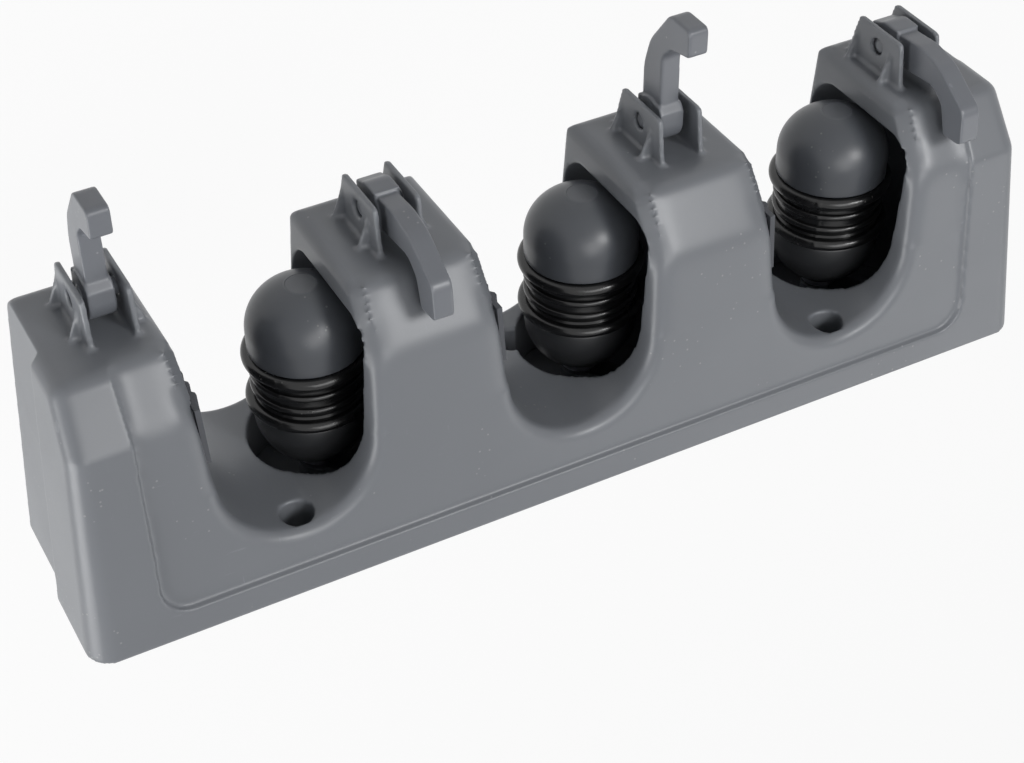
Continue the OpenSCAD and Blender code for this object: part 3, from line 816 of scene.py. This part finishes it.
activate(sleeve)
bpy.ops.object.mode_set(mode="EDIT")
skin = bmesh.from_edit_mesh(sleeve.data)
for vertex in skin.verts:
    x, _, z = vertex.co
    near = abs(math.atan2(z, x) - SEAM_TURN) < SEAM_HALF
    vertex.select = near and math.hypot(x, z) > SEAM_INSIDE
skin.select_flush_mode()
print("corners on the mould line", sum(vertex.select for vertex in skin.verts))
bmesh.update_edit_mesh(sleeve.data)
bpy.ops.transform.resize(value=(SEAM_GROWTH, 1, SEAM_GROWTH), center_override=(0, 0, 0))
bpy.ops.object.mode_set(mode="OBJECT")
on_rollers(sleeve, "roller_sleeve", sleeve_rubber)

# %% [markdown]
# The cup at the back mirrors the dome. It is dark grey plastic like the dome, but it is coloured
# near-black here, which is painted shade for the pocket that it sits deep in. Only a soft edge
# of it shows, and it is turned in the same way with a full ball at its end and a hole for the
# spindle.

# %% Cups
SLEEVE_END = ROLLER_MID - SLEEVE_HALF
CUP_START = 26.3
CUP_RIM = [(15.2, SLEEVE_END - 0.3), (CORE_R, SLEEVE_END - 0.7)]
SPINDLE_HOLE_R = 3.06
HOLE_MOUTH = 11.0
HOLE_FLOOR = 14.0

cup_edge = SLEEVE_END - JOIN_GAP
cup_outline = [(NECK_R, cup_edge), (RIM_R, cup_edge)] + CUP_RIM + [(CORE_R, CUP_START)]
cup_outline += arc(0, CUP_START, CORE_R, start=-2, end=-76, count=30)
cup_outline += [(SPINDLE_HOLE_R, HOLE_MOUTH), (SPINDLE_HOLE_R, HOLE_FLOOR), (AXIS_R, HOLE_FLOOR)]
on_rollers(turned("cup", cup_outline), "roller_cup", cup_painted_shade_plastic)

# %% [markdown]
# The rack was shot on white. A floor lit to white would need so much light that the rack
# would wash out. So the floor shines white only where the camera, a mirror or glass looks at
# it, and is an ordinary pale surface for all other light, so that it still takes the rack's
# soft shadow. It is large enough for its edge never to come into view.

# %% Floor
FLOOR_SIZE = 40
FLOOR_Z = -0.35
FLOOR_PAINT = (0.85, 0.85, 0.85, 1.0)
FLOOR_ROUGHNESS = 0.8
WHITE = (1.0, 1.0, 1.0, 1.0)
WHITENESS = 0.92

clear_selection()
bpy.ops.mesh.primitive_plane_add(size=FLOOR_SIZE, location=(0, 0, FLOOR_Z))
floor = bpy.context.active_object
floor.name = "floor"

floor_white = Finish("floor_white")
floor_white.set(Base_Color=FLOOR_PAINT, Roughness=FLOOR_ROUGHNESS)
painted = Value(floor_white, floor_white.shader.outputs["BSDF"])
shining = floor_white.add("ShaderNodeEmission", None, {"Color": WHITE, "Strength": 1.0})
surface = floor_white.add("ShaderNodeMixShader", None,
                          {0: floor_white.looking() * WHITENESS, 1: painted, 2: shining})
floor_white.feed(floor_white.tree.nodes["Material Output"].inputs["Surface"], surface)
floor.data.materials.append(floor_white.material)
print("floor at", FLOOR_Z)

# %% [markdown]
# The white surroundings also light the rack a little from all sides. The world does both: it
# is white to whoever looks at it, and a weak, slightly cool fill for the light that it sends
# out.

# %% World
FILL = (0.06, 0.062, 0.066, 1.0)

world = bpy.data.worlds.new("tent")
scene.world = world
world.use_nodes = True
tent = Shading(world.node_tree)
tent.feed(tent.tree.nodes["Background"].inputs["Color"], tent.mix(tent.looking(), FILL, WHITE))
print("fill", FILL[:3])

# %% [markdown]
# Broad soft lamps stand round the rack, each turned towards it. One large source would leave
# the rack flat. Several weaker ones, set by comparing each part of the render with the same
# part of the photograph, give the blocks a light side and a dark side. The brightest stands
# off the end of the rack that is on the left of the photograph. Two more shine on the upper
# face: a broad one, and a smaller one that gives the sharpest light. The others are the light
# that the tent throws back, from the right and from low down, where two lamps add no more than
# a glimmer. Left and right in a lamp's name are those of the photograph.

# %% Lamps
PANEL = (0.7, 0.7)
KEY_PANEL = (0.34, 0.34)
NEAR = 1.1
AWAY = 1.3


def soft_lamp(name, towards, distance, size, watts):
    """An area lamp that shines at the rack from the direction given."""
    data = bpy.data.lights.new(name, "AREA")
    data.shape = "RECTANGLE"
    data.size, data.size_y = size
    data.energy = watts
    lamp = bpy.data.objects.new(name, data)
    way = Vector(towards).normalized()
    lamp.location = way * distance
    lamp.rotation_mode = "QUATERNION"
    lamp.rotation_quaternion = way.to_track_quat("Z", "Y")
    scene.collection.objects.link(lamp)
    print("lamp", name, watts)


soft_lamp("bounce_left", (0.95, 0.25, 0.18), NEAR, PANEL, 8.0)
soft_lamp("bounce_right", (-0.64, 0.42, 0.64), AWAY, PANEL, 1.8)
soft_lamp("bounce_low", (0.64, 0.42, -0.64), AWAY, PANEL, 2.2)
soft_lamp("above", (0.1, -0.28, 0.95), AWAY, PANEL, 5.0)
soft_lamp("key", (-0.31, -0.48, 0.82), AWAY, KEY_PANEL, 5.8)
soft_lamp("front_right", (-0.45, -0.77, -0.45), AWAY, PANEL, 2.2)
